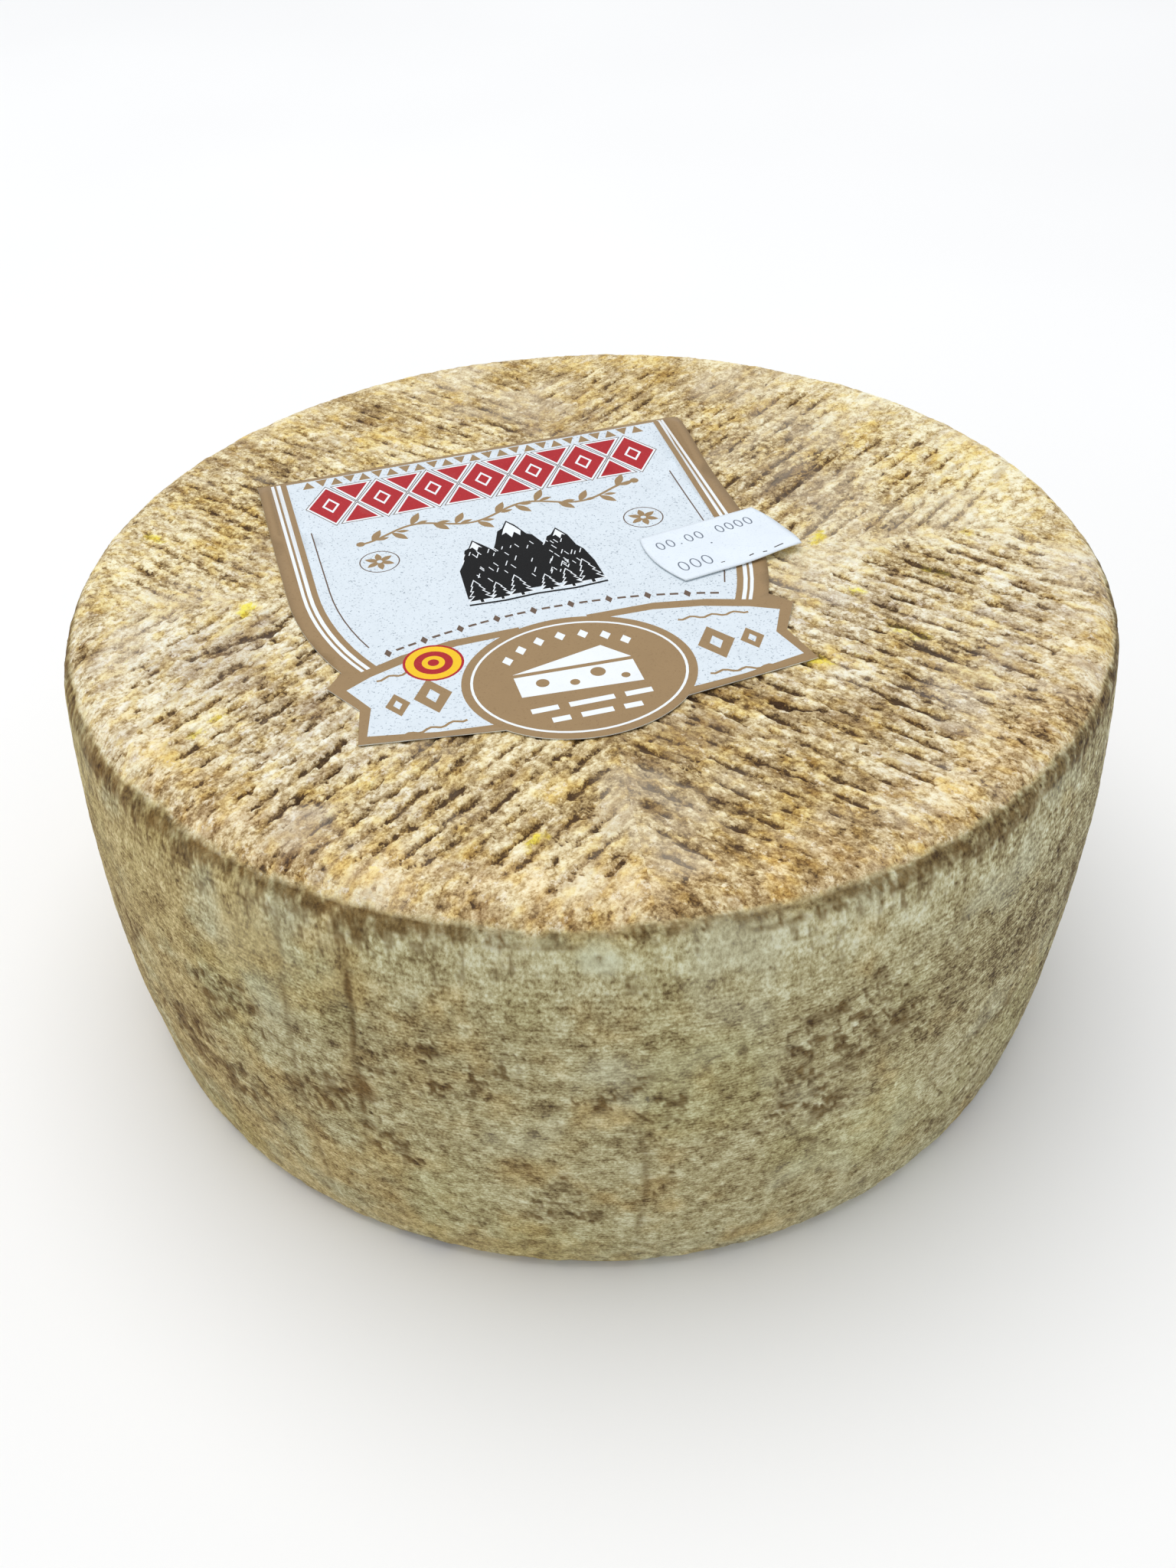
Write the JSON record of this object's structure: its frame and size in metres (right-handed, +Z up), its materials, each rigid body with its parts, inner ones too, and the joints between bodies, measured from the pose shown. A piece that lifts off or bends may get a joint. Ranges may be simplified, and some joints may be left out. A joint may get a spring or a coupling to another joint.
{
  "type": "cheese wheel",
  "caption": "Whole round wheel of hard cheese with a furrowed upper face, a paper label and a small stamped sticker; it lies flat on its base.",
  "frame": {"origin": "centre of the wheel's base, on the surface it lies on", "axes": "+Z up through the wheel's upper face; the fields of furrows meet along X and Y; the label's foot points roughly to -Y and its far edge to +Y"},
  "size_m": [0.252, 0.2508, 0.1157],
  "materials": {
    "rind": "matte",
    "label_paper": "satin",
    "sticker_paper": "satin"
  },
  "bodies": {
    "root": {"cheese_wheel": "rind", "paper_label": "label_paper", "date_sticker": "sticker_paper"}
  },
  "joints": []
}
